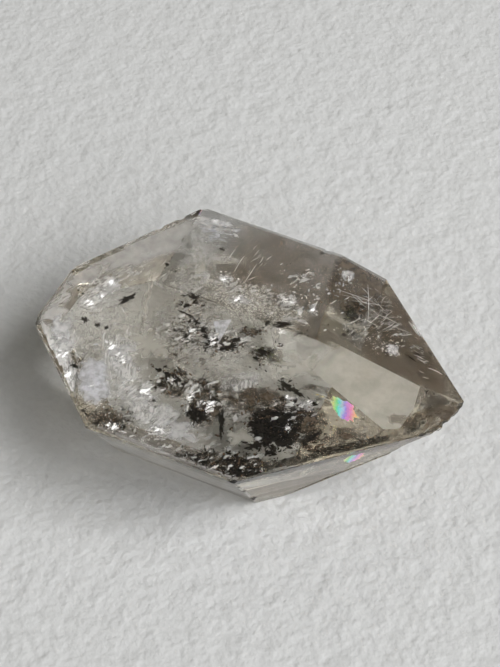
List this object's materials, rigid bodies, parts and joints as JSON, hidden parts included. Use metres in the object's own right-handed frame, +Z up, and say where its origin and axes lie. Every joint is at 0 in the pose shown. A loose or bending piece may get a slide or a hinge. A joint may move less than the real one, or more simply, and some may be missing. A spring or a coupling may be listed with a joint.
{
  "type": "herkimer diamond",
  "caption": "Doubly terminated clear quartz crystal with smoky tint, chipped tip and dark sealed inclusions, lying on a flat prism face.",
  "frame": {"origin": "middle of the crystal's box, on the flat face it rests on", "axes": "+Z up, square to the resting face; +X along the c axis, from the blunt tip towards the sharp broken tip; +Y across, towards the back"},
  "size_m": [0.0392, 0.0288, 0.0106],
  "materials": {
    "smoky_quartz": "natural growth faces, glossy and see-through with a faint smoky brown tint",
    "carbon_inclusion": "matt black to dark brown hydrocarbon, sealed in the crystal",
    "white_veil": "white and bluish healed cracks and fluid veils, sealed in the crystal",
    "rainbow_fracture": "thin inner crack with rainbow interference colours"
  },
  "bodies": {
    "root": {"quartz_crystal": "smoky_quartz"}
  },
  "joints": []
}
